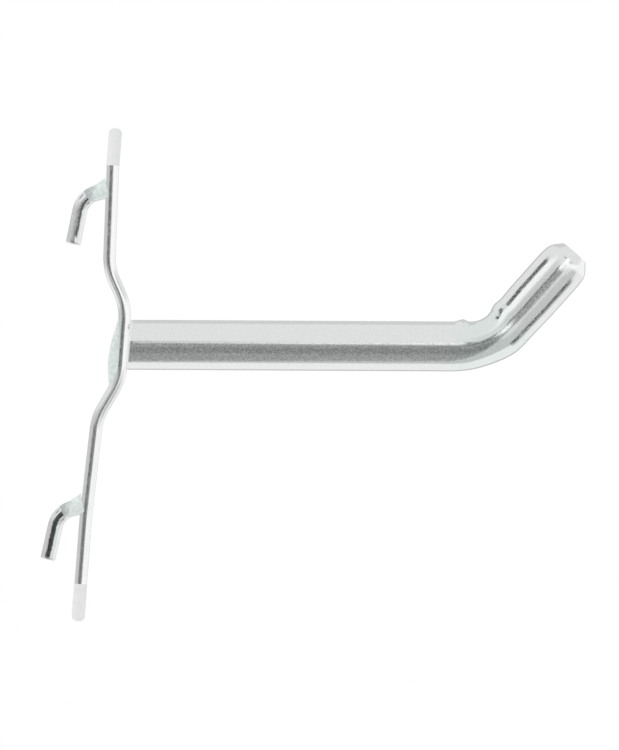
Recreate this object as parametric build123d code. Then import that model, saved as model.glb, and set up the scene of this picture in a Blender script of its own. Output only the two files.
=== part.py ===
from build123d import *
import os
from math import atan2, cos, degrees, radians, sin, tan

# Single tool-panel hook: a bent tube welded to an upright wire, which hangs in
# two panel holes by two round pegs. Millimetres throughout.
# X runs out of the panel along the arm, Y across it, Z up. The panel's face is
# the plane X = 0, and the origin is where the upper peg passes through it.

# Back wire, seen from the side. Its straight ends lie on the panel.
wire_diameter = 4.0
wire_above_pegs = 19.4       # its ends, beyond the upper and the lower peg
wire_below_pegs = 35.5
upper_lean_start = 9.0       # the straight ends reach this far in from the pegs
lower_lean_start = 2.9
upper_foot_forward = 1.3     # how far the wire has leant out where it swings out
lower_foot_forward = 1.2
bulge_forward = 7.6          # how far the middle stands out from the ends
bulge_above_arm = 12.1       # corners of the bulge, before they are rounded
bulge_below_arm = 11.1
upper_swing_height = 11.9    # from a corner of the bulge to its foot
lower_swing_height = 13.0
bulge_bend_radius = 20.0
foot_bend_radius = 18.0
lean_bend_radius = 60.0
wire_end_rounding = 1.2

# Pegs that go through the panel
peg_diameter = 4.8
peg_pitch = 101.6            # four holes of a 25.4 mm panel
peg_root_rise = 18.0         # degrees: the root climbs towards the wire
peg_lean = {"upper": 7.2, "lower": 8.4}   # degrees between the leg and the upright
peg_reach = 6.9              # from the panel's face back to the bend's corner
peg_bend_radius = 7.0
peg_tip_depth = 17.6         # tip below the place where the peg meets the panel
peg_tip_chamfer = 0.35
joint_sink = 0.4             # how far a pressed joint sinks into the wire

# Arm: a thin tube, open at the wire and closed at its free end
tube_diameter = 16.0
tube_wall = 1.2
arm_drop = 48.5              # the arm's axis at the wire, below the upper peg
arm_rise = 4.1               # degrees above level
arm_length = 116.4           # from the wire to the corner of the bend
leg_angle = 52.5             # degrees above level
leg_length = 40.4            # from the corner to the flat tip
arm_bend_radius = 20.0
mouth_rounding = 0.9
tip_face_diameter = 9.4
tip_cone_angle = 42.0        # degrees between the closing cone and the axis
tip_blend_radius = 7.0

# The bend was pressed with nothing inside: it is flattened, and its inside wrinkled
inner_dip = 0.7
inner_dip_place = 0.6        # share of the bend at which its inside is deepest
outer_flat = 0.75
outer_flat_place = 0.4
dip_half_width = 5.7
widening = 0.45              # the tube gives way sideways where its inside is deepest
leg_flat = 0.3               # what is left of the flattening just past the bend
leg_flat_length = 14.0
first_wrinkle = 0.75
first_wrinkle_past = 0.3     # its crest lies this far past the bend's start
second_wrinkle = 0.45
second_wrinkle_past = 1.8    # and this one's past the bend's end
wrinkle_half_width = 1.8
section_spacing = 1.6

# Soft caps dipped on the wire's ends
cap_coat = 0.12
cap_length = 12.0
cap_end_thickness = 1.1
cap_rounding = 1.7

# Weld metal over the pegs' roots: a skin on the upper side that climbs the wire
peg_weld_reach = 6.5         # back along the peg from the panel's face
peg_weld_wrap = 1.0          # forward round the wire's sides
peg_weld_skin = 0.3
peg_weld_climb = 1.6         # how much higher it stands where it ends beside the wire
peg_weld_climb_length = 4.5
peg_weld_side = 0.2
weld_feather = 0.03          # a weld starts and ends this far under the surface

# Weld bead on the back of the bulge
bead_above_arm = 8.1
bead_below_arm = 13.6
bead_fullest_below_arm = 6.1
bead_height = 2.4            # proud of the wire's back, at its fullest
bead_half_width = 1.75
bead_end_narrowing = 0.55
bead_wrap = 0.7              # its widest line lies this deep beside the wire

# Weld spots in the tube's mouth
mouth_weld_radius = 2.9

wire_radius = wire_diameter / 2
peg_radius = peg_diameter / 2
tube_radius = tube_diameter / 2


def in_plane(x, z):
    """A point of the object's middle plane."""
    return Vector(x, 0, z)


def direction(angle):
    """Unit vector in the middle plane, at so many degrees above the X axis."""
    return in_plane(cos(radians(angle)), sin(radians(angle)))


def facing(point, angle):
    """Plane across a direction of the middle plane, with its own Y axis on the upper side."""
    return Plane(origin=point, x_dir=(0, 1, 0), z_dir=direction(angle))


def rod(path, radius):
    """A round bar along a path of straight runs and tangent arcs."""
    start = Plane(origin=path @ 0, z_dir=path % 0)
    return sweep(start * Circle(radius), path=path)


def two_ellipses(plane, upper, lower, across):
    """Face with one half ellipse above and another below a shared width."""
    above = EllipticalCenterArc((0, 0), across, upper, start_angle=0, arc_size=180)
    below = EllipticalCenterArc((0, 0), across, lower, start_angle=180, arc_size=180)
    return plane * make_face(above + below)


def end_edges(solid, centre, radius):
    """The round edge of a flat end whose centre is given."""
    rings = [e for e in solid.edges().filter_by(GeomType.CIRCLE) if abs(e.radius - radius) < 0.01]
    nearest = min((e.arc_center - centre).length for e in rings)
    return [e for e in rings if (e.arc_center - centre).length < nearest + 0.01]


# Back wire

bulge_line = wire_radius + bulge_forward
bulge_top = bulge_above_arm - arm_drop
bulge_bottom = -bulge_below_arm - arm_drop
wire_top = wire_above_pegs
wire_bottom = -peg_pitch - wire_below_pegs


def make_back_wire():
    """Round wire that leans out from its straight ends and swings out round a bulge."""
    corners = [
        in_plane(wire_radius, wire_top),
        in_plane(wire_radius, upper_lean_start),
        in_plane(wire_radius + upper_foot_forward, bulge_top + upper_swing_height),
        in_plane(bulge_line, bulge_top),
        in_plane(bulge_line, bulge_bottom),
        in_plane(wire_radius + lower_foot_forward, bulge_bottom - lower_swing_height),
        in_plane(wire_radius, -peg_pitch - lower_lean_start),
        in_plane(wire_radius, wire_bottom),
    ]
    radii = [lean_bend_radius, foot_bend_radius, bulge_bend_radius]
    wire = rod(FilletPolyline(*corners, radius=radii + radii[::-1]), wire_radius)
    for end in (corners[0], corners[-1]):
        wire = fillet(end_edges(wire, end, wire_radius), wire_end_rounding)
    return wire


def wire_back(z):
    """X of the wire's back at a height, from the bulge down to the swing below it."""
    swing = atan2(bulge_forward - lower_foot_forward, lower_swing_height)
    below = bulge_bottom + bulge_bend_radius * tan(swing / 2) - z
    if below <= 0:
        return bulge_line - wire_radius
    if below <= (bulge_bend_radius - wire_radius) * sin(swing):
        centre = bulge_line - bulge_bend_radius
        return centre + ((bulge_bend_radius - wire_radius) ** 2 - below ** 2) ** 0.5
    return bulge_line - (bulge_bottom - z) * tan(swing) - wire_radius / cos(swing)


# Pegs

root_way = direction(peg_root_rise)
root_slope = 1 / cos(radians(peg_root_rise))


def peg_path(side):
    """Line of a peg from inside the wire, back through the panel and down to its tip."""
    place = in_plane(0, 0 if side == "upper" else -peg_pitch)
    corner = root_way * (-peg_reach * root_slope)
    drop = peg_tip_depth + corner.Z
    tip = corner + in_plane(-drop * tan(radians(peg_lean[side])), -drop)
    points = [point + place for point in (root_way * (joint_sink * root_slope), corner, tip)]
    return FilletPolyline(*points, radius=peg_bend_radius)


def make_peg(side, wire):
    """Short bent rod, sheared square at its tip and pressed on to the wire's back."""
    path = peg_path(side)
    peg = rod(path, peg_radius)
    peg = chamfer(end_edges(peg, path @ 1, peg_radius), peg_tip_chamfer)
    return peg - wire


def make_peg_weld(side, wire, peg):
    """Weld metal over a peg's root, feathered out along the peg and climbing the wire."""
    path = peg_path(side)
    count = 6
    sections = []
    for i in range(count + 1):
        along = (peg_weld_wrap + peg_weld_reach) * i / count - peg_weld_wrap
        share = max(along + joint_sink * root_slope, 0.0) / path.length
        way = path % share
        angle = degrees(atan2(-way.Z, -way.X))
        point = path @ share - direction(angle) * min(along + joint_sink * root_slope, 0.0)
        skin = 1 - (max(along, 0.0) / peg_weld_reach) ** 2
        climb = max(1 - (along + peg_weld_wrap) / peg_weld_climb_length, 0.0) ** 1.5
        under = peg_radius - weld_feather
        over = under + peg_weld_skin * skin + peg_weld_climb * climb
        sections.append(two_ellipses(facing(point, angle), over, under, under + peg_weld_side * skin))
    return loft(sections) - wire - peg


# Arm

arm_start = in_plane(bulge_line + wire_radius - joint_sink, -arm_drop)
arm_corner = arm_start + direction(arm_rise) * arm_length
arm_tip = arm_corner + direction(leg_angle) * leg_length
bend_angle = leg_angle - arm_rise
bend_tangent = arm_bend_radius * tan(radians(bend_angle / 2))
bend_arc = arm_bend_radius * radians(bend_angle)


def arm_place(s):
    """Point and angle of the arm's axis at a length s past the start of its bend."""
    turn = min(max(s, 0.0), bend_arc) / arm_bend_radius
    start = arm_corner - direction(arm_rise) * bend_tangent
    centre = start + direction(arm_rise + 90) * arm_bend_radius
    angle = arm_rise + degrees(turn)
    point = centre - direction(angle + 90) * arm_bend_radius
    spare = min(s, 0.0) + max(s - bend_arc, 0.0)
    return point + direction(angle) * spare, angle


def bump(distance, half_width):
    """Smooth bump: 1 at its middle, and nothing from two half widths away."""
    share = min(abs(distance) / (2 * half_width), 1.0)
    return (1 - share ** 2) ** 3


def bent_section(s, inset):
    """Flattened and wrinkled section of the tube near its bend, or of its bore."""
    point, angle = arm_place(s)
    past = s - bend_arc
    dip = bump(s - inner_dip_place * bend_arc, dip_half_width)
    flat = bump(s - outer_flat_place * bend_arc, dip_half_width)
    fading = bump(max(past, 0.0), leg_flat_length / 2) * bump(min(past, 0.0), dip_half_width)
    wrinkles = first_wrinkle * bump(s - first_wrinkle_past, wrinkle_half_width)
    wrinkles += second_wrinkle * bump(past - second_wrinkle_past, wrinkle_half_width)
    radius = tube_radius - inset
    inner = radius - inner_dip * dip - leg_flat * fading + wrinkles
    outer = radius - max(outer_flat * flat, leg_flat * fading)
    return two_ellipses(facing(point, angle), inner, outer, radius + widening * dip)


def straight_form(length, inset):
    """Cylinder of a length along the arm, from its mouth."""
    return extrude(facing(arm_start, arm_rise) * Circle(tube_radius - inset), length)


def tip_form(back, inset):
    """Turned end: a cylinder of a length, a rounded shoulder, a cone and a flat face."""
    radius = tube_radius - inset
    face = tip_face_diameter / 2 - inset * tan(radians(45 - tip_cone_angle / 2))
    cone = (radius - face) / tan(radians(tip_cone_angle))
    end = arm_tip - direction(leg_angle) * inset
    side = FilletPolyline((radius, -back), (radius, -cone), (face, 0), radius=tip_blend_radius - inset)
    outline = side + Polyline((face, 0), (0, 0), (0, -back), (radius, -back))
    plane = Plane(origin=end, x_dir=direction(leg_angle - 90), z_dir=(0, -1, 0))
    return revolve(plane * make_face(outline), axis=Axis(end, direction(leg_angle)))


def arm_form(inset):
    """The tube's outside when inset is 0, and the form of its bore when it is the wall."""
    lead = 3 * section_spacing
    reach = lead + bend_arc + leg_flat_length + 2 * section_spacing
    count = round(reach / section_spacing)
    bend = loft([bent_section(reach * i / count - lead, inset) for i in range(count + 1)])
    before, _ = arm_place(-lead)
    after, _ = arm_place(reach - lead)
    run = straight_form((before - arm_start).length, inset)
    return run + bend + tip_form((arm_tip - after).length - inset, inset)


def make_arm_tube(wire):
    """Bent tube with an open, rounded mouth pressed on the wire and a closed, coned tip."""
    outside = arm_form(0)
    outside = fillet(end_edges(outside, arm_start, tube_radius), mouth_rounding)
    return outside - arm_form(tube_wall) - wire


def make_mouth_weld(side, wire, tube):
    """Weld spot inside the tube's mouth, where its rim crosses the wire."""
    rim = tube_radius - tube_wall / 2
    up = direction(arm_rise + 90) * (rim if side == "upper" else -rim)
    spot = Pos(arm_start + up) * Sphere(mouth_weld_radius)
    return (spot & straight_form(2 * mouth_weld_radius, tube_wall)) - wire - tube


def make_back_bead(wire):
    """Long weld bead on the back of the bulge, fullest below the arm's axis."""
    top = bead_above_arm - arm_drop
    bottom = -bead_below_arm - arm_drop
    fullest = -bead_fullest_below_arm - arm_drop
    count = 6
    sections = []
    for i in range(count + 1):
        z = (top + bottom + (top - bottom) * cos(radians(180 * i / count))) / 2
        away = (z - fullest) / ((top if z > fullest else bottom) - fullest)
        proud = bead_height * (1 - away ** 1.7) + weld_feather
        half_width = bead_half_width * (1 - bead_end_narrowing * away ** 3)
        plane = Plane(origin=in_plane(wire_back(z) + bead_wrap, z), x_dir=(1, 0, 0), z_dir=(0, 0, -1))
        sections.append(plane * Ellipse(proud + bead_wrap, half_width))
    return loft(sections) - wire


# Caps


def make_tip_cap(side, wire):
    """Thin soft skin with a rounded end, dipped over an end of the wire."""
    way = 1 if side == "upper" else -1
    end = (wire_top if side == "upper" else wire_bottom) + way * cap_end_thickness
    radius = wire_radius + cap_coat
    rim = Plane(origin=in_plane(wire_radius, end - way * cap_length), z_dir=(0, 0, way))
    cap = extrude(rim * Circle(radius), cap_length)
    return fillet(end_edges(cap, in_plane(wire_radius, end), radius), cap_rounding) - wire


back_wire = make_back_wire()
arm_tube = make_arm_tube(back_wire)
parts = {
    "back_wire": back_wire,
    "arm_tube": arm_tube,
    "arm_back_weld": make_back_bead(back_wire),
}
for side in ("upper", "lower"):
    peg = make_peg(side, back_wire)
    parts[side + "_peg"] = peg
    parts[side + "_peg_weld"] = make_peg_weld(side, back_wire, peg)
    parts["arm_" + side + "_weld"] = make_mouth_weld(side, back_wire, arm_tube)
    parts[side + "_tip_cap"] = make_tip_cap(side, back_wire)

os.makedirs("parts", exist_ok=True)
for name, part in parts.items():
    export_step(part, "parts/" + name + ".step")
    print(name, len(part.solids()), "solid", round(part.volume, 1), "mm3")
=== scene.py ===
# %% [markdown]
# # A zinc-plated panel hook, dressed in Blender
#
# The CAD model is already right in shape: an upright wire, two pegs that hook behind a perforated
# panel, a bent tube as the arm, a few drops of weld metal and two soft caps. What is missing is how it
# looks. Bright zinc is nearly a mirror, so most of the work is in what it mirrors and in how smooth,
# streaky or dull each surface is. The script loads the CAD parts as a fixed frame, in metres.

# %% Load the frame
import math

import bpy
import numpy as np
from mathutils import Matrix, Vector


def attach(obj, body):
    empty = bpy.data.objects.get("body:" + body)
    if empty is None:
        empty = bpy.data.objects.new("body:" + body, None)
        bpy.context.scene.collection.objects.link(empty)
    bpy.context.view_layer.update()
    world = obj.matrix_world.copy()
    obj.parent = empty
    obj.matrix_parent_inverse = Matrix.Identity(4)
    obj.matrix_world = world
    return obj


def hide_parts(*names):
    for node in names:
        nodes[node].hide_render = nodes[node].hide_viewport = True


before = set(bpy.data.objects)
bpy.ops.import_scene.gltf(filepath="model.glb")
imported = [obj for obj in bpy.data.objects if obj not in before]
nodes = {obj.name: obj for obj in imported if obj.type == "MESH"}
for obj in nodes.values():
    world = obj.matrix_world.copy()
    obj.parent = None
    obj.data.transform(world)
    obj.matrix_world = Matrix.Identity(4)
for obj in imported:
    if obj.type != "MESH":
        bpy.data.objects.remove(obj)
scene = bpy.context.scene
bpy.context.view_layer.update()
print("CAD parts:", ", ".join(sorted(nodes)))

# %% [markdown]
# ## The camera
#
# The photograph was taken from the side with a long lens, so the hook shows no perspective. It lies a
# little crooked there: the wire leans by 4.4 degrees. The camera is rolled by that angle, and the hook
# stays upright. The picture's middle and its height in millimetres come from the distance between the
# two pegs, which is 101.6 mm.

# %% Camera
MM = 0.001
PICTURE_MIDDLE = (70.1 * MM, -53.7 * MM)
PICTURE_HEIGHT = 240.8 * MM
ROLL = math.radians(4.4)
LENS = 300.0

camera_data = bpy.data.cameras.new("long_lens")
camera_data.lens = LENS
camera_distance = PICTURE_HEIGHT * LENS / camera_data.sensor_width
camera = bpy.data.objects.new("side_camera", camera_data)
right = Vector((math.cos(ROLL), 0, math.sin(ROLL)))
up = Vector((-math.sin(ROLL), 0, math.cos(ROLL)))
turn = Matrix((right, up, right.cross(up))).transposed().to_4x4()
camera.matrix_world = Matrix.Translation((PICTURE_MIDDLE[0], -camera_distance, PICTURE_MIDDLE[1])) @ turn
camera_data.clip_start = 0.1
camera_data.clip_end = 20
scene.collection.objects.link(camera)
scene.camera = camera
print("the camera stands", round(camera_distance, 2), "m away")

# %% [markdown]
# ## Centre lines
#
# Wire, pegs and tube are all round bars bent in one plane, so each is a centre line and a section that
# rides along it. A bent bar has straight runs joined by arcs. Each piece of the line is kept as its
# length, its start, its first angle and its curvature, which is zero on a straight run. Any place on
# the line then follows from one formula, for a whole array of lengths at once. A curve object with a
# round bevel would be quicker to make, but its section can't change along the way, and the arm's does.

# %% Lines of straight runs and arcs
def bent_line(corners, radii):
    """Pieces (length, x, z, angle, curvature) of a line round its corners. An arc starts and ends at
    radius times tan(half the turn) from the corner that it rounds."""
    corners = [np.array(c, float) for c in corners]
    here = corners[0]
    pieces = []
    for before, corner, after, radius in zip(corners, corners[1:], corners[2:], radii):
        angle = math.atan2(*(corner - before)[::-1])
        turned = math.atan2(*(after - corner)[::-1]) - angle
        turned = (turned + math.pi) % (2 * math.pi) - math.pi
        back = radius * math.tan(abs(turned) / 2)
        run = np.hypot(*(corner - here)) - back
        pieces.append((run, *here, angle, 0.0))
        here = here + run * np.array([math.cos(angle), math.sin(angle)])
        pieces.append((radius * abs(turned), *here, angle, math.copysign(1 / radius, turned)))
        here = corner + back * np.array([math.cos(angle + turned), math.sin(angle + turned)])
    last = corners[-1] - here
    pieces.append((np.hypot(*last), *here, math.atan2(*last[::-1]), 0.0))
    return np.array(pieces)


def along(line, s):
    """x, z and angle at the lengths s. On an arc the line moves by the change of (sin, -cos) of its
    angle over its curvature, and on a run by its length times (cos, sin)."""
    ends = np.cumsum(line[:, 0])
    which = np.clip(np.searchsorted(ends, s), 0, len(line) - 1)
    length, x, z, angle, curve = np.moveaxis(line[which], -1, 0)
    t = s - (ends[which] - length)
    now = angle + curve * t
    safe = np.where(curve == 0, 1.0, curve)
    dx = np.where(curve == 0, t * np.cos(angle), (np.sin(now) - np.sin(angle)) / safe)
    dz = np.where(curve == 0, t * np.sin(angle), (np.cos(angle) - np.cos(now)) / safe)
    return x + dx, z + dz, now


quarter_turn = bent_line([(0, 0), (10, 0), (10, 10)], [5])
print("a 20 mm corner with a 5 mm arc is", round(quarter_turn[:, 0].sum(), 2), "mm long")

# %% [markdown]
# ## A skin round a centre line
#
# The skin is a grid: one ring of points for each place on the line, and the same number of points in
# every ring. A ring is made of two half ellipses, because the arm was squashed more on the inside of
# its bend than on the outside. Every point also remembers where it would lie if the bar were straight.
# Drawn metal has marks that run along it, and a pattern on those remembered places bends with it.
#
# The bars don't show in each other's mirror images. What they mirror in the photograph is already in
# the lit tent further down, and a second copy would spoil it.

# %% The skin
def ring_grid(line, s, above, below, across, around, lean=0.0):
    """Points and straightened places of rings: at an angle v round the bar, the height over the line
    is above or below times sin v, and the side way is across times cos v. A ring that leans lies
    further along the line by lean times its height."""
    v = 2 * np.pi * np.arange(around)[None, :] / around
    height = np.where(np.sin(v) > 0, above[:, None], below[:, None]) * np.sin(v)
    side = across[:, None] * np.cos(v)
    s = s[:, None] + lean * height
    x, z, angle = along(line, s)
    points = np.stack([x - height * np.sin(angle), side, z + height * np.cos(angle)], axis=-1)
    straight = np.stack([s, side, height], axis=-1)
    return points * MM, straight * MM


def skin(name, points, straight):
    """Closed mesh from a grid of rings, with the first and last ring drawn together to a point."""
    rings, around = points.shape[:2]
    index = np.arange(rings * around).reshape(rings, around)
    ahead = np.roll(index, -1, axis=1)
    quads = np.stack([index[:-1], ahead[:-1], ahead[1:], index[1:]], axis=-1).reshape(-1, 4)
    first, last = rings * around, rings * around + 1
    start = np.stack([ahead[0], index[0], np.full(around, first)], axis=-1)
    end = np.stack([index[-1], ahead[-1], np.full(around, last)], axis=-1)
    corners = np.concatenate([points.reshape(-1, 3), points[[0, -1]].mean(axis=1)])
    places = np.concatenate([straight.reshape(-1, 3), straight[[0, -1]].mean(axis=1)])
    mesh = bpy.data.meshes.new(name)
    mesh.from_pydata(corners.tolist(), [], quads.tolist() + start.tolist() + end.tolist())
    memory = mesh.attributes.new("straightened", "FLOAT_VECTOR", "POINT")
    memory.data.foreach_set("vector", places.ravel())
    mesh.shade_smooth()
    mesh.update()
    piece = bpy.data.objects.new(name, mesh)
    piece.visible_glossy = False
    scene.collection.objects.link(piece)
    print(name, "has", len(mesh.polygons), "faces")
    return piece


def plain_ends(length, radius, rounding, spacing):
    """Lengths and radii for a bar whose two ends are rounded: a quarter circle at each end."""
    q = np.linspace(0, np.pi / 2, 7)
    body = np.linspace(rounding, length - rounding, round(length / spacing))
    s = np.concatenate([rounding * (1 - np.cos(q)), body[1:-1], length - rounding * (1 - np.cos(q[::-1]))])
    r = radius - rounding * (1 - np.sin(q))
    return s, np.concatenate([r, np.full(len(body) - 2, radius), r[::-1]])


sample_s, sample_r = plain_ends(20.0, 2.0, rounding=1.0, spacing=1.0)
print("a plain bar of 20 mm takes", len(sample_s), "rings, the first of radius", sample_r[0], "mm")

# %% [markdown]
# ## The back wire
#
# A 4 mm wire, seen from the side: its ends lie on the panel, and between them it swings out by 7.6 mm
# round a bulge that carries the arm. Its corners are the ones that a wire bender would be set to, and
# the skin rounds them with the bender's radii.

# %% Back wire
WIRE_RADIUS = 2.0
PEG_PITCH = 101.6
WIRE_TOP = 19.4
WIRE_BOTTOM = -PEG_PITCH - 35.5
BULGE = WIRE_RADIUS + 7.6
ARM_DROP = 48.5

wire_line = bent_line(
    [
        (WIRE_RADIUS, WIRE_TOP),
        (WIRE_RADIUS, 9.0),
        (WIRE_RADIUS + 1.3, -24.5),
        (BULGE, 12.1 - ARM_DROP),
        (BULGE, -11.1 - ARM_DROP),
        (WIRE_RADIUS + 1.2, -72.6),
        (WIRE_RADIUS, -PEG_PITCH - 2.9),
        (WIRE_RADIUS, WIRE_BOTTOM),
    ],
    [60, 18, 20, 20, 18, 60],
)
s, r = plain_ends(wire_line[:, 0].sum(), WIRE_RADIUS, rounding=1.2, spacing=0.8)
wire = skin("drawn_wire", *ring_grid(wire_line, s, r, r, r, around=40))
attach(wire, "root")
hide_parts("back_wire")

# %% [markdown]
# ## The pegs
#
# Each peg is a 4.8 mm rod that starts inside the wire, falls away at 18 degrees, goes through the
# panel and bends down behind it. Its tip was sheared off, which leaves a square end with a small edge.
# The two pegs differ only in how far their legs lean back, so one function gives both lines.

# %% Pegs
PEG_RADIUS = 2.4
PEG_SLOPE = math.tan(math.radians(18))
PEG_REACH = 6.9
PEG_DEPTH = 17.6
PEG_BEND = 7.0
PEG_LEAN = {"upper": 7.2, "lower": 8.4}


def peg_line(side):
    """Line of a peg from inside the wire over its bend to its tip."""
    corner = np.array([-PEG_REACH, -PEG_REACH * PEG_SLOPE])
    drop = PEG_DEPTH + corner[1]
    tip = corner + [-drop * math.tan(math.radians(PEG_LEAN[side])), -drop]
    place = np.array([0, 0 if side == "upper" else -PEG_PITCH])
    inner = np.array([1.0, PEG_SLOPE])
    return bent_line([inner + place, corner + place, tip + place], [PEG_BEND])


PEG_LENGTH = peg_line("upper")[:, 0].sum()
pegs = {}
for side in PEG_LEAN:
    line = peg_line(side)
    s, r = plain_ends(line[:, 0].sum(), PEG_RADIUS, rounding=0.6, spacing=0.35)
    pegs[side] = skin(side + "_drawn_peg", *ring_grid(line, s, r, r, r, around=48))
    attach(pegs[side], "root")
    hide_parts(side + "_peg")

# %% [markdown]
# ## The arm's line
#
# The arm is a 16 mm tube with a 1.2 mm wall. It leaves the wire's bulge with a slight rise and is bent
# up once, near its free end.

# %% Arm's centre line
TUBE_RADIUS = 8.0
TUBE_WALL = 1.2
JOINT_SINK = 0.4
ARM_RUN = 116.4
LEG_RUN = 40.4
ARM_RISE = math.radians(4.1)
LEG_ANGLE = math.radians(52.5)
BEND_RADIUS = 20.0

mouth = np.array([BULGE + WIRE_RADIUS - JOINT_SINK, -ARM_DROP])
bend_corner = mouth + ARM_RUN * np.array([math.cos(ARM_RISE), math.sin(ARM_RISE)])
tip = bend_corner + LEG_RUN * np.array([math.cos(LEG_ANGLE), math.sin(LEG_ANGLE)])
arm_line = bent_line([mouth, bend_corner, tip], [BEND_RADIUS])
ARM_LENGTH = arm_line[:, 0].sum()
BEND_START = arm_line[0, 0]
BEND_ARC = arm_line[1, 0]
BEND_END = BEND_START + BEND_ARC
print("arm:", round(ARM_LENGTH, 1), "mm, bent from", round(BEND_START, 1), "to", round(BEND_END, 1), "mm")

# %% [markdown]
# ## The form of the bend
#
# The tube was bent with nothing inside to hold it round, so the bend is flatter than the rest: its
# inside sinks, and the metal that has nowhere to go stands up in two low wrinkles. Sculpting would do
# it too, but a sum of smooth bumps, each of which starts and ends at exactly nothing, leaves no seam.

# %% Arm's bend
INSIDE_DIP = 0.7
OUTSIDE_FLAT = 0.75
SIDE_BULGE = 0.45
LEG_FLAT = 0.3
FIRST_WRINKLE = 0.75
SECOND_WRINKLE = 0.45
WRINKLE_HALF = 1.8
DIP_HALF = 5.7
LEG_FLAT_HALF = 7.0
# The dip and the flat are placed by a share of the bend's arc, the wrinkles by their distance in
# millimetres from its start and from its end
DIP_AT = 0.6
FLAT_AT = 0.4
FIRST_AT = 0.3
SECOND_AT = 1.8


def bump(distance, half_width):
    """Smooth bump (1 - q squared) cubed, where q is the distance over two half widths, at most 1."""
    q = np.minimum(np.abs(distance) / (2 * half_width), 1)
    return (1 - q ** 2) ** 3


def bend_form(s):
    """What to add to the radius above, below and across at the lengths s, in millimetres: sums of
    bumps for the dip, the flat outside, the flatter start of the leg and the two wrinkles."""
    past = s - BEND_END
    dip = bump(s - BEND_START - DIP_AT * BEND_ARC, DIP_HALF)
    flat = bump(s - BEND_START - FLAT_AT * BEND_ARC, DIP_HALF)
    fading = LEG_FLAT * bump(np.maximum(past, 0), LEG_FLAT_HALF) * bump(np.minimum(past, 0), DIP_HALF)
    first = FIRST_WRINKLE * bump(s - BEND_START - FIRST_AT, WRINKLE_HALF)
    second = SECOND_WRINKLE * bump(past - SECOND_AT, WRINKLE_HALF)
    inner = -INSIDE_DIP * dip - fading + first + second
    outer = -np.maximum(OUTSIDE_FLAT * flat, fading)
    return inner, outer, SIDE_BULGE * dip


lowest = TUBE_RADIUS + bend_form(np.arange(BEND_START, BEND_END, 0.1))[0].min()
print("the bend's inside sinks to", round(lowest, 2), "mm from the centre line")

# %% [markdown]
# ## The closed end
#
# The free end was spun shut: a rounded shoulder, a cone and a small flat face that is very slightly
# crowned. It is a profile of lengths and radii with its corners rounded, so that light runs over the
# edges as it does over spun metal, and no edge is a knife's.

# %% Arm's closed end
FACE_RADIUS = 4.7
FACE_CROWN = 0.2
TAPER_LENGTH = 7.0
TAPER_DROP = 0.4
CONE = math.radians(42)


def rounded_corner(before, corner, after, radius, count):
    """Points of an arc that rounds a corner of a profile. Its centre is on the corner's bisector, at
    the radius over sin(half the corner's angle), and it runs from one tangent point to the other."""
    before, corner, after = (np.array(p, float) for p in (before, corner, after))
    one = (before - corner) / np.hypot(*(before - corner))
    two = (after - corner) / np.hypot(*(after - corner))
    half = math.acos(np.clip(one @ two, -1, 1)) / 2
    centre = corner + (one + two) / np.hypot(*(one + two)) * radius / math.sin(half)
    first = corner + one * radius / math.tan(half) - centre
    final = corner + two * radius / math.tan(half) - centre
    total = math.acos(np.clip(first @ final / radius ** 2, -1, 1))
    t = np.linspace(0, 1, count)[:, None]
    return centre + (first * np.sin((1 - t) * total) + final * np.sin(t * total)) / math.sin(total)


shoulder_radius = TUBE_RADIUS - TAPER_DROP
taper = (ARM_LENGTH - TAPER_LENGTH, TUBE_RADIUS)
shoulder = (ARM_LENGTH - (shoulder_radius - FACE_RADIUS) / math.tan(CONE), shoulder_radius)
edge = (ARM_LENGTH, FACE_RADIUS)
peak = (ARM_LENGTH + FACE_CROWN, 0)
crown = np.linspace(FACE_RADIUS - 0.5, 0.3, 8)
closing = np.concatenate([
    rounded_corner((0, TUBE_RADIUS), taper, shoulder, radius=30.0, count=12),
    rounded_corner(taper, shoulder, edge, radius=5.5, count=24),
    rounded_corner(shoulder, edge, peak, radius=0.45, count=9),
    np.stack([ARM_LENGTH + FACE_CROWN * (1 - (crown / FACE_RADIUS) ** 2), crown], axis=1),
])
print("the closed end is", round(ARM_LENGTH + FACE_CROWN - closing[0, 0], 1), "mm long")

# %% [markdown]
# ## The arm's skin
#
# One closed skin goes up the bore, round the mouth's rim, along the outside and over the closed end.
# Rings lie close together only where the form changes. The tube rises a little from the wire, and its
# mouth was cut along the wire and not square to the tube, so the first rings lean, and the lean fades
# out over 10 mm.

# %% Arm's skin
MOUTH_LEAN = math.tan(math.radians(5.5))
LEAN_FADES = 10.0
MOUTH_START = 0.2
RIM_LENGTH = 0.8
RIM_DEPTH = 0.5

rim = np.linspace(np.pi / 2, 0, 9)
rim_s = MOUTH_START + RIM_LENGTH * (1 - np.sin(rim))
rim_r = TUBE_RADIUS - RIM_DEPTH * (1 - np.cos(rim))
straight_part = np.arange(2.0, BEND_START - 5, 2.0)
bent_part = np.arange(BEND_START - 5, BEND_END + 14, 0.4)
leg_part = np.arange(bent_part[-1] + 1, closing[0, 0] - 0.5, 1.0)
plain_s = np.concatenate([straight_part, bent_part, leg_part])
bore_end = np.arange(ARM_LENGTH - 8, BEND_START - 5, -1.0)
bore_s = np.concatenate([bore_end, [60, 40, 20, 10, 5, 2, MOUTH_START]])
bore_r = np.full(len(bore_s), TUBE_RADIUS - TUBE_WALL)
arm_s = np.concatenate([bore_s, rim_s, plain_s, closing[:, 0]])
arm_r = np.concatenate([bore_r, rim_r, np.full(len(plain_s), TUBE_RADIUS), closing[:, 1]])
inner, outer, wider = bend_form(arm_s)
lean = MOUTH_LEAN * np.clip(1 - arm_s / LEAN_FADES, 0, 1)[:, None]
rings = ring_grid(arm_line, arm_s, arm_r + inner, arm_r + outer, arm_r + wider, around=112, lean=lean)
arm = skin("bent_tube", *rings)
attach(arm, "root")
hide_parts("arm_tube")

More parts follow.
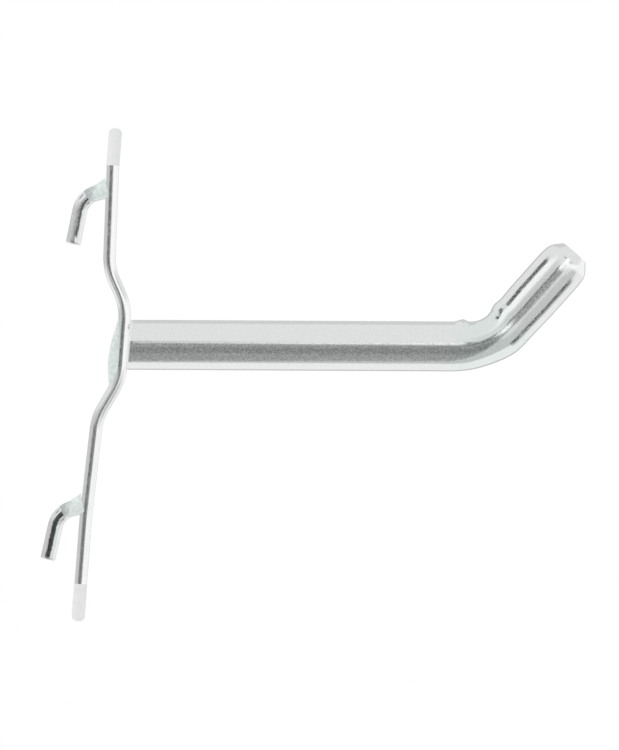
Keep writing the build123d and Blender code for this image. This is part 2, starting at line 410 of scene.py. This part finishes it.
# %% [markdown]
# ## Colours and nodes
#
# A colour is written as the sRGB hex value that the eye sees. Shaders work in linear light, so one
# function turns the hex value into linear numbers. Another adds a node with its settings and links,
# whatever kind of node it is. Nearly every mask here has the same form, full between two limits and
# faded out past them, so that form has a function too.

# %% Colour and node helpers
MATH = "ShaderNodeMath"
VECTORS = "ShaderNodeVectorMath"
RANGE = "ShaderNodeMapRange"
MIX = "ShaderNodeMix"
SMOOTH = {"interpolation_type": "SMOOTHSTEP"}
TIMES = {"operation": "MULTIPLY"}
TIMES_PLUS = {"operation": "MULTIPLY_ADD"}
WITHOUT_SIGN = {"operation": "ABSOLUTE"}
DOT = {"operation": "DOT_PRODUCT"}
NUMBERS = {"data_type": "FLOAT"}
COLOURS = {"data_type": "RGBA"}


def linear(code):
    """Linear RGBA of an sRGB hex colour: each channel through the sRGB curve, backwards."""
    channels = [int(code[i:i + 2], 16) / 255 for i in (0, 2, 4)]
    return tuple(c / 12.92 if c <= 0.04045 else ((c + 0.055) / 1.055) ** 2.4 for c in channels) + (1.0,)


def add(tree, kind, settings=None, inputs=()):
    """Adds a node. Settings are its own properties. Inputs are a tuple in the sockets' order, or a
    dictionary by name or number. Each is a value, an output, or a node that gives its first output."""
    node = tree.nodes.new(kind)
    for name, value in (settings or {}).items():
        setattr(node, name, value)
    named = inputs if isinstance(inputs, dict) else dict(enumerate(inputs))
    for name, value in named.items():
        if isinstance(value, bpy.types.Node):
            value = value.outputs[0]
        if isinstance(value, bpy.types.NodeSocket):
            tree.links.new(value, node.inputs[name])
        else:
            node.inputs[name].default_value = value
    return node


def band(tree, value, low, high, low_soft, high_soft):
    """Mask that is 1 between two limits: a smooth step up round the low one times a smooth step down
    round the high one. Each step reaches its own width to either side of its limit."""
    rising = add(tree, RANGE, SMOOTH, (value, low - low_soft, low + low_soft, 0.0, 1.0))
    falling = add(tree, RANGE, SMOOTH, (value, high - high_soft, high + high_soft, 1.0, 0.0))
    return add(tree, MATH, TIMES, (rising, falling))


print("the eye's middle grey, 808080, is", round(linear("808080")[0], 3), "in linear light")

# %% [markdown]
# ## The studio
#
# Small shiny goods are photographed in a white tent with one opening for the camera. Metal then
# mirrors white everywhere except where it faces the dark room behind the camera. That opening is what
# draws the grey band along the tube and the black line down the wire. Real lamps and cloth could be
# built round the hook, but the world's own colour is simpler to steer. It is worked out from the
# direction in which a ray leaves: its azimuth round the hook, which is 0 straight towards the camera
# and grows to the right, and its height above the horizon, both in degrees.

# %% World: which way a ray goes
world = bpy.data.worlds.new("photo_tent")
scene.world = world
world.use_nodes = True
tree = world.node_tree
tree.nodes.clear()
way = add(tree, "ShaderNodeTexCoord").outputs["Generated"]
to_right, to_back, to_top = add(tree, "ShaderNodeSeparateXYZ", None, (way,)).outputs
to_camera = add(tree, MATH, TIMES, (to_back, -1.0))
turned = add(tree, MATH, {"operation": "ARCTAN2"}, (to_right, to_camera))
azimuth = add(tree, MATH, {"operation": "DEGREES"}, (turned,))
raised = add(tree, MATH, {"operation": "ARCSINE"}, (to_top,))
height = add(tree, MATH, {"operation": "DEGREES"}, (raised,))
print("directions take", len(tree.nodes), "nodes")

# %% [markdown]
# ## Panels in the tent
#
# The tent is a plain pale level, a little brighter below and darker at the back, with pale and dark
# panels laid over it one after the other. A round bar mirrors a whole line of directions at once: the
# level arm mirrors those straight above and below the camera, the wire and the pegs mirror the
# horizon, and the leg mirrors a slope from the upper left to the lower right. A panel that only one of
# these lines crosses tunes one strip of one bar, and each was set by comparing that strip with the
# photograph.

# %% World: pale tent and its panels
def lay(under, level, *masks):
    """Lays a grey level over what is there, as far as the product of all the masks lets it."""
    mask = masks[0]
    for other in masks[1:]:
        mask = add(tree, MATH, TIMES, (mask, other))
    return add(tree, MIX, NUMBERS, {0: mask, 2: under, 3: level})


def panel(under, level, sides, ends, soft):
    """A level between two azimuths and two heights. Each of its four edges fades over its own width."""
    across = band(tree, azimuth, *sides, *soft[:2])
    upright = band(tree, height, *ends, *soft[2:])
    return lay(under, level, across, upright)


behind = add(tree, RANGE, SMOOTH, (to_back, 0.72, 0.96, 1.0, 0.55))
cloth = add(tree, RANGE, SMOOTH, (height, 10.0, -40.0, 0.85, 0.96))
light = add(tree, MATH, TIMES, (cloth, behind))
# The camera's opening, which the arm mirrors as its grey band
light = panel(light, 0.31, (-64, 20), (-95, 8), (12, 8, 1, 9))
# Paler grey round it: the leg's inner side, the wire's upper swing and the leg's outer side
light = panel(light, 0.66, (-75, -14), (8, 30), (10, 8, 4, 10))
light = panel(light, 0.52, (-70, -18), (-45, -8), (10, 8, 6, 3))
light = panel(light, 0.60, (20, 74), (-95, -13), (6, 2, 1, 6))
# The darker lower half of the arm's band
light = panel(light, 0.22, (-14, 14), (-38, -9), (6, 4, 7, 4))
# Left and front of the horizon: the grey strip and the dark line of the wire and the pegs
light = panel(light, 0.64, (-150, -60), (-12, 16), (10, 9, 4, 4))
light = panel(light, 0.13, (-34, -9), (-7, -0.5), (8, 4, 3, 0.6))
light = panel(light, 0.11, (-46, -15), (-0.5, 2.5), (8, 6, 0.6, 1.5))
light = panel(light, 0.55, (-50, -16), (4, 16), (8, 5, 1.5, 4))
# Right of the horizon: the wire's white strip, and the pale side of its lower swing
light = panel(light, 1.10, (17, 80), (-4, 18), (3, 4, 3, 4))
light = panel(light, 0.80, (17, 30), (-16, -2.5), (4, 4, 3, 1.0))
# Both sides of the camera: the dark streak along the leg's middle, and its run into the bend
light = panel(light, 0.16, (-11, -1.5), (0, 9), (5, 1.2, 1, 4))
light = panel(light, 0.16, (1.5, 6), (-6, 0), (1.2, 1.5, 1, 1))
light = panel(light, 0.24, (-10, -2.5), (7, 17), (2, 1, 3, 3))
light = panel(light, 0.30, (2.5, 9), (1, 10), (1, 3, 1, 4))
# Far right: the pegs' bright edges. Upper left: the leg's white streak
light = panel(light, 1.05, (80, 150), (-14, 20), (6, 12, 5, 5))
light = panel(light, 1.05, (-66, -33), (20, 42), (3, 8, 6, 5))
print("with its panels, the tent takes", len(tree.nodes), "nodes")

# %% [markdown]
# ## Posts and strips
#
# A few things in the tent suit a shape other than a panel. The top of the arm mirrors the tent's
# darker back wall. The leg shows two narrow dark lines, so two dark posts stand at its sides. They
# lie in the plane that the straight leg mirrors, square to its own direction, and fade out of it, so
# that no other bar catches them. The leg's turned end looks further ahead along the leg, where it
# mirrors a grey ring and a narrow strip of light.

# %% World: back wall, posts, ring and strip
off_middle = add(tree, MATH, WITHOUT_SIGN, (to_right,))
back_wall = add(tree, RANGE, SMOOTH, (to_back, 0.40, 0.56))
over_arm = add(tree, RANGE, SMOOTH, (height, 14.0, 24.0))
straight_up = add(tree, RANGE, SMOOTH, (off_middle, 0.12, 0.25, 1.0, 0.0))
light = lay(light, 0.68, back_wall, over_arm, straight_up)

leg_way = (math.cos(LEG_ANGLE), 0, math.sin(LEG_ANGLE))
leg_square = (-math.sin(LEG_ANGLE), 0, math.cos(LEG_ANGLE))
leg_ahead = add(tree, VECTORS, DOT, (way, leg_way)).outputs["Value"]
leg_aside = add(tree, MATH, WITHOUT_SIGN, (add(tree, VECTORS, DOT, (way, leg_square)).outputs["Value"],))
out_of_square = add(tree, MATH, WITHOUT_SIGN, (leg_ahead,))
level_with_leg = add(tree, RANGE, SMOOTH, (out_of_square, 0.05, 0.14, 1.0, 0.0))
light = lay(light, 0.09, band(tree, azimuth, -93, -65, 4, 3), level_with_leg)
light = lay(light, 0.09, band(tree, azimuth, 64, 89, 3, 16), level_with_leg)

ring = band(tree, to_camera, 0.515, 0.65, 0.035, 0.03)
near_leg = add(tree, RANGE, SMOOTH, (leg_aside, 0.28, 0.42, 1.0, 0.0))
light = lay(light, 0.35, ring, near_leg, add(tree, RANGE, SMOOTH, (leg_ahead, 0.2, 0.4)))

over_leg = add(tree, RANGE, SMOOTH, (leg_aside, 0.11, 0.18, 1.0, 0.0))
before_tip = add(tree, RANGE, SMOOTH, (leg_ahead, 0.08, 0.16))
light = lay(light, 1.15, over_leg, before_tip, add(tree, RANGE, SMOOTH, (to_camera, 0.40, 0.50)))
print("the whole tent takes", len(tree.nodes), "nodes")

# %% [markdown]
# ## Three ways to see the tent
#
# Only a mirrored ray sees the panels. Dull surfaces get the same light, but plain and even, with a
# little less of it from the right. The camera itself sees pure white, which is the background of the
# photograph, and so does what it sees through anything clear.

# %% World: what each ray sees
paths = add(tree, "ShaderNodeLightPath").outputs
seen = add(tree, MATH, {"operation": "MAXIMUM"}, (paths["Is Camera Ray"], paths["Is Transmission Ray"]))
from_right = add(tree, MATH, TIMES, (to_right, 0.10))
even = add(tree, MATH, {"operation": "SUBTRACT"}, (0.92, from_right))
mirrored = add(tree, MIX, NUMBERS, {0: paths["Is Glossy Ray"], 2: even, 3: light})
shown = add(tree, MIX, NUMBERS, {0: seen, 2: mirrored, 3: 1.0})
sky = add(tree, "ShaderNodeBackground", None, {"Color": (1, 1, 1, 1), "Strength": shown})
add(tree, "ShaderNodeOutputWorld", None, {"Surface": sky})
scene.view_settings.view_transform = "Standard"
print("view transform:", scene.view_settings.view_transform)

# %% [markdown]
# ## The floor
#
# A round white table lies under the hook and takes its soft shadow. Towards its rim it turns into the
# plain white of the background, so that no edge shows. The metal doesn't mirror it, because the tent
# already says what lies below.

# %% Floor
FLOOR_RADIUS = 0.42
FLOOR_MIDDLE = (0.07, 0.0, -0.205)

rings = np.linspace(0.02, FLOOR_RADIUS, 12)[:, None]
v = 2 * np.pi * np.arange(96)[None, :] / 96
flat = np.zeros_like(rings * v)
table = np.stack([rings * np.cos(v), rings * np.sin(v), flat], axis=-1) + FLOOR_MIDDLE
index = np.arange(table.size // 3).reshape(table.shape[:2])
ahead = np.roll(index, -1, axis=1)
quads = np.stack([index[:-1], index[1:], ahead[1:], ahead[:-1]], axis=-1).reshape(-1, 4)
floor_mesh = bpy.data.meshes.new("white_table")
floor_mesh.from_pydata(table.reshape(-1, 3).tolist(), [], quads.tolist() + [index[0].tolist()])
floor = bpy.data.objects.new("white_table", floor_mesh)
scene.collection.objects.link(floor)
floor.visible_glossy = False

# Matte white paper: it takes the hook's shadow and has no shine of its own
paper = bpy.data.materials.new("white_table_paper")
paper.use_nodes = True
tree = paper.node_tree
tree.nodes.clear()
place = add(tree, "ShaderNodeTexCoord").outputs["Object"]
centred = add(tree, VECTORS, {"operation": "SUBTRACT"}, (place, FLOOR_MIDDLE))
distance = add(tree, VECTORS, {"operation": "LENGTH"}, (centred,)).outputs["Value"]
dull = add(tree, "ShaderNodeBsdfDiffuse", None, {"Color": (1, 1, 1, 1)})
glow = add(tree, "ShaderNodeEmission", None, {"Color": (1, 1, 1, 1), "Strength": 1.0})
fade = add(tree, RANGE, SMOOTH, (distance, 0.16, FLOOR_RADIUS - 0.02))
both = add(tree, "ShaderNodeMixShader", None, (fade, dull, glow))
add(tree, "ShaderNodeOutputMaterial", None, {"Surface": both})
floor_mesh.materials.append(paper)

# %% [markdown]
# ## Bright zinc on drawn steel
#
# The bars were drawn through a die and plated with bright zinc. Drawing leaves fine marks that run
# along the bar, and the plating dulls some of them. Where the metal mirrors white this hardly shows.
# Where it mirrors the dark opening, the dull streaks catch light from all round, and the band looks
# mottled. The pattern is a noise on the straightened places, long along the bar and narrow round it.
# A picture of scratches would need an unwrapped surface, and the noise needs none.
#
# Three things tell this finish from chrome: streaks that are rougher than the rest, tiny pits that
# scatter light and so are less metallic, and slow waves that make every mirrored edge a little
# unsteady.

# %% Zinc
def streaks(tree, place, length, width, detail, seed):
    """Noise whose grains are so many millimetres long along the bar and so many wide round it."""
    scaled = add(tree, VECTORS, TIMES, (place, (1 / (length * MM), 1 / (width * MM), 1 / (width * MM))))
    moved = add(tree, VECTORS, {"operation": "ADD"}, (scaled, (seed, seed, seed)))
    inputs = {"Vector": moved, "Scale": 1.0, "Detail": detail, "Roughness": 0.6}
    return add(tree, "ShaderNodeTexNoise", None, inputs)


def zinc_finish(name, hue, smooth, mottled, pitted, uneven, grain, seed):
    """Bright zinc: smooth is the lowest roughness, mottled what the streaks add to it, pitted how matte
    its small pits are, uneven the height in millimetres of the waves in its surface, and grain the
    length in millimetres of a fine mark."""
    material = bpy.data.materials.new(name)
    material.use_nodes = True
    tree = material.node_tree
    shader = tree.nodes["Principled BSDF"]
    place = add(tree, "ShaderNodeAttribute", {"attribute_name": "straightened"}).outputs["Vector"]
    # Real die marks are a few hundredths of a millimetre wide and real pits about a tenth, too fine to
    # show in the render, so both are drawn about half a millimetre wide
    fine = streaks(tree, place, grain, 0.5, 3.0, seed)
    pits = streaks(tree, place, 0.7, 0.6, 2.0, seed + 31)
    broad = streaks(tree, place, 9.0, 1.6, 2.0, seed + 7)
    waves = streaks(tree, place, 5.0, 1.2, 1.0, seed + 13)
    marks = add(tree, RANGE, SMOOTH, (fine, 0.35, 0.75))
    patches = add(tree, RANGE, SMOOTH, (broad, 0.3, 0.7, 0.3, 1.0))
    dullness = add(tree, MATH, TIMES, (marks, patches))
    rough = add(tree, MATH, TIMES_PLUS, (dullness, mottled, smooth))
    metal = add(tree, RANGE, SMOOTH, (pits, 0.38, 0.66, 1.0, 1.0 - pitted))
    swell = add(tree, MATH, TIMES_PLUS, (fine, 0.35, waves))
    relief = add(tree, "ShaderNodeBump", None, {"Strength": 1.0, "Distance": uneven * MM, "Height": swell})
    shader.inputs["Base Color"].default_value = linear(hue)
    tree.links.new(metal.outputs[0], shader.inputs["Metallic"])
    tree.links.new(rough.outputs[0], shader.inputs["Roughness"])
    tree.links.new(relief.outputs[0], shader.inputs["Normal"])
    print(name, "has", len(tree.nodes), "nodes")
    return material


# Drawn wire under bright zinc: smoother than the tube, so its dark line stays sharp, with longer marks
wire_look = {"hue": "eef0f0", "smooth": 0.06, "mottled": 0.25, "pitted": 0.12, "uneven": 0.012, "grain": 1.6}
wire_zinc = zinc_finish("bright_zinc_on_drawn_wire", seed=20.0, **wire_look)
wire.data.materials.append(wire_zinc)

# %% [markdown]
# ## The tube's finish
#
# The tube has the same zinc, in a coarser grain, and two marks of how it was made. Its bend has a
# faint green tint: the clear layer over the zinc was stretched there, and its thickness colours the
# light. Its rim is matte and white, as if it was rubbed down for welding. The tint goes into the
# colour and the rim into how metallic the surface is, both by the place along the straightened tube.

# %% Zinc on the tube
def greener_bend(material, hue, tinted, start, end):
    """Takes the colour over to the tinted hue and back between two lengths in millimetres. A noise
    moves both borders by up to 12 mm, so that neither is a ring."""
    tree = material.node_tree
    place = add(tree, "ShaderNodeAttribute", {"attribute_name": "straightened"}).outputs["Vector"]
    length = add(tree, "ShaderNodeSeparateXYZ", None, (place,)).outputs["X"]
    cloudy = add(tree, MATH, TIMES_PLUS, (streaks(tree, place, 6.0, 3.0, 2.0, 90.0), 12 * MM, length))
    mask = band(tree, cloudy, (start + 4) * MM, (end - 4) * MM, 4 * MM, 4 * MM)
    tone = add(tree, MIX, COLOURS, {0: mask, 6: linear(hue), 7: linear(tinted)})
    tree.links.new(tone.outputs[2], tree.nodes["Principled BSDF"].inputs["Base Color"])


def dull_rim(material, lean):
    """Makes the first millimetre of the tube a quarter as metallic. The distance from the leaning
    mouth is the place along the tube less lean times the height."""
    tree = material.node_tree
    place = add(tree, "ShaderNodeAttribute", {"attribute_name": "straightened"}).outputs["Vector"]
    distance = add(tree, VECTORS, DOT, (place, (1 / MM, 0, -lean / MM))).outputs["Value"]
    rubbed = add(tree, RANGE, SMOOTH, (distance, 1.15, 0.75, 1.0, 0.25))
    metallic = tree.nodes["Principled BSDF"].inputs["Metallic"]
    bright = metallic.links[0].from_socket
    tree.links.new(add(tree, MATH, TIMES, (bright, rubbed)).outputs[0], metallic)


# Drawn tube under bright zinc: short marks and many pits, so its grey band looks mottled
tube_look = {"hue": "eef0f0", "smooth": 0.06, "mottled": 0.30, "pitted": 0.17, "uneven": 0.006, "grain": 0.8}
tube_zinc = zinc_finish("bright_zinc_on_drawn_tube", seed=0.0, **tube_look)
greener_bend(tube_zinc, tube_look["hue"], "e8efed", BEND_START, BEND_END + 12)
dull_rim(tube_zinc, MOUTH_LEAN)
arm.data.materials.append(tube_zinc)
print("the tube's tint starts", round(BEND_START), "mm from its mouth")

# %% [markdown]
# ## The pegs' finish
#
# The pegs were bent hard and handled most, so their zinc is rougher and wavier. Each has a ragged
# dark band along its leg: a painted dark reflection. On the upper peg it lies a little towards the
# wire, on the lower one nearly in the middle. It is a change of colour between two heights and two
# lengths of the straightened rod.

# %% Zinc on the pegs
def paint_dark_reflection(material, hue, low, high, start, end, seed):
    """A painted dark reflection: a dark band along both flanks of a peg, between two heights and two
    lengths in millimetres. A noise moves its sides by 0.45 mm and its ends by 1.5 mm either way."""
    tree = material.node_tree
    place = add(tree, "ShaderNodeAttribute", {"attribute_name": "straightened"}).outputs["Vector"]
    ragged = streaks(tree, place, 1.2, 0.6, 3.0, seed)
    shifted = add(tree, VECTORS, {"operation": "SUBTRACT"}, (place, (1.5 * MM, 0, 0.45 * MM)))
    parts = add(tree, "ShaderNodeSeparateXYZ", None, (shifted,)).outputs
    height = add(tree, MATH, TIMES_PLUS, (ragged, 0.9 * MM, parts["Z"]))
    length = add(tree, MATH, TIMES_PLUS, (ragged, 3.0 * MM, parts["X"]))
    flank = band(tree, height, low * MM, high * MM, 0.15 * MM, 0.15 * MM)
    run = band(tree, length, start * MM, end * MM, 0.5 * MM, 0.2 * MM)
    mask = add(tree, MATH, TIMES, (flank, run))
    # The dark grey 6a6e6e is the painted dark reflection
    tone = add(tree, MIX, COLOURS, {0: mask, 6: linear(hue), 7: linear("6a6e6e")})
    tree.links.new(tone.outputs[2], tree.nodes["Principled BSDF"].inputs["Base Color"])


# Drawn rod under bright zinc, bent hard: strong streaks and waves, so its mirrored strips look broken
rod = {"hue": "eaecec", "smooth": 0.08, "mottled": 0.45, "pitted": 0.20, "uneven": 0.020, "grain": 0.9}
upper_peg_zinc = zinc_finish("bright_zinc_on_upper_peg", seed=40.0, **rod)
# Each peg's leg gets a painted dark reflection in its base colour
paint_dark_reflection(upper_peg_zinc, rod["hue"], 0.2, 0.9, 6.0, PEG_LENGTH - 2.5, 50.0)
lower_peg_zinc = zinc_finish("bright_zinc_on_lower_peg", seed=60.0, **rod)
paint_dark_reflection(lower_peg_zinc, rod["hue"], -0.9, 0.6, 6.0, PEG_LENGTH - 0.6, 70.0)
pegs["upper"].data.materials.append(upper_peg_zinc)
pegs["lower"].data.materials.append(lower_peg_zinc)
print("the pegs' dark bands start 6 mm from the wire")

# %% [markdown]
# ## Weld metal
#
# The hook was welded before it was plated, so the weld metal is zinc too, but over a lumpy, oxidised
# surface. It scatters light instead of mirroring it, and looks milky with a faint green. Its colour is
# cloudy, and goes over to the bars' grey where the bead thins out away from the wire. The CAD shapes
# are right and stay, so the pattern reads their Object coordinates. The small spots in the tube's
# mouth lie in its shade and get a paler version, painted light against that shade.

# %% Weld metal
LUMP = 1.2
LUMP_HEIGHT = 0.12


def weld_finish(name, pale, deep, metallic):
    """Matte zinc over weld metal: a cloudy colour between two hues on low lumps, which goes over to
    grey from 0.6 to 4.2 mm behind the panel's front."""
    material = bpy.data.materials.new(name)
    material.use_nodes = True
    tree = material.node_tree
    shader = tree.nodes["Principled BSDF"]
    place = add(tree, "ShaderNodeTexCoord").outputs["Object"]
    lumps = add(tree, "ShaderNodeTexNoise", None, {"Vector": place, "Scale": 1 / (LUMP * MM), "Detail": 3.0})
    bumps = {"Strength": 1.0, "Distance": LUMP_HEIGHT * MM, "Height": lumps}
    relief = add(tree, "ShaderNodeBump", None, bumps)
    clouds = add(tree, RANGE, SMOOTH, (lumps, 0.35, 0.65))
    milky = add(tree, MIX, COLOURS, {0: clouds, 6: linear(deep), 7: linear(pale)}).outputs[2]
    outwards = add(tree, "ShaderNodeSeparateXYZ", None, (place,)).outputs["X"]
    broken = add(tree, MATH, TIMES_PLUS, (lumps, 3 * MM, outwards))
    thin = add(tree, RANGE, SMOOTH, (broken, -0.6 * MM, -4.2 * MM))
    tone = add(tree, MIX, COLOURS, {0: thin, 6: milky, 7: linear("bcc2c2")}).outputs[2]
    tree.links.new(tone, shader.inputs["Base Color"])
    tree.links.new(relief.outputs[0], shader.inputs["Normal"])
    shader.inputs["Metallic"].default_value = metallic
    shader.inputs["Roughness"].default_value = 0.5
    print(name, "has lumps of", LUMP, "mm")
    return material


# Zinc-plated weld metal, left as it set: matte and milky green, without a clear mirror image
weld = weld_finish("zinc_on_weld_metal", "f2f9f7", "e0ede9", 0.3)
# The same in the tube's mouth, painted paler and nearly white: painted light against the tube's shade
mouth_weld_painted_paler = weld_finish("mouth_welds_painted_paler", "f6f8f8", "eef0f0", 0.2)

# %% [markdown]
# ## Soft caps
#
# The wire's ends were dipped in soft plastic, so that they don't scratch the panel. It dries to a
# thin, smooth, pale grey skin with a wide, weak shine, slightly cloudy where it is thicker. The clouds
# are a noise of 2.5 mm between two near hues.

# %% Caps
CLOUD = 2.5

# Soft plastic, dipped: an even pale grey that hides the metal and spreads its highlight
soft = bpy.data.materials.new("dipped_soft_plastic")
soft.use_nodes = True
tree = soft.node_tree
shader = tree.nodes["Principled BSDF"]
place = add(tree, "ShaderNodeTexCoord").outputs["Object"]
cloud = add(tree, "ShaderNodeTexNoise", None, {"Vector": place, "Scale": 1 / (CLOUD * MM), "Detail": 2.0})
tone = add(tree, MIX, COLOURS, {0: cloud, 6: linear("e6e8e7"), 7: linear("f2f4f3")})
tree.links.new(tone.outputs[2], shader.inputs["Base Color"])
shader.inputs["Roughness"].default_value = 0.5
print("the caps' clouds are", CLOUD, "mm wide")

# %% [markdown]
# ## Finishes on the CAD parts
#
# The welds and caps keep their CAD shapes and only get a finish. The hidden CAD bars get theirs as
# well, so that every part has its real material, whichever model is used. Like the new pieces, none
# of them shows in a mirror image.

# %% Finishes on the CAD parts
finishes = {
    "back_wire": wire_zinc,
    "arm_tube": tube_zinc,
    "upper_peg": upper_peg_zinc,
    "lower_peg": lower_peg_zinc,
    "arm_back_weld": weld,
    "upper_peg_weld": weld,
    "lower_peg_weld": weld,
    "arm_upper_weld": mouth_weld_painted_paler,
    "arm_lower_weld": mouth_weld_painted_paler,
    "upper_tip_cap": soft,
    "lower_tip_cap": soft,
}
for name, finish in finishes.items():
    nodes[name].data.materials.clear()
    nodes[name].data.materials.append(finish)
    nodes[name].visible_glossy = False
print(len(finishes), "CAD parts have their finish")
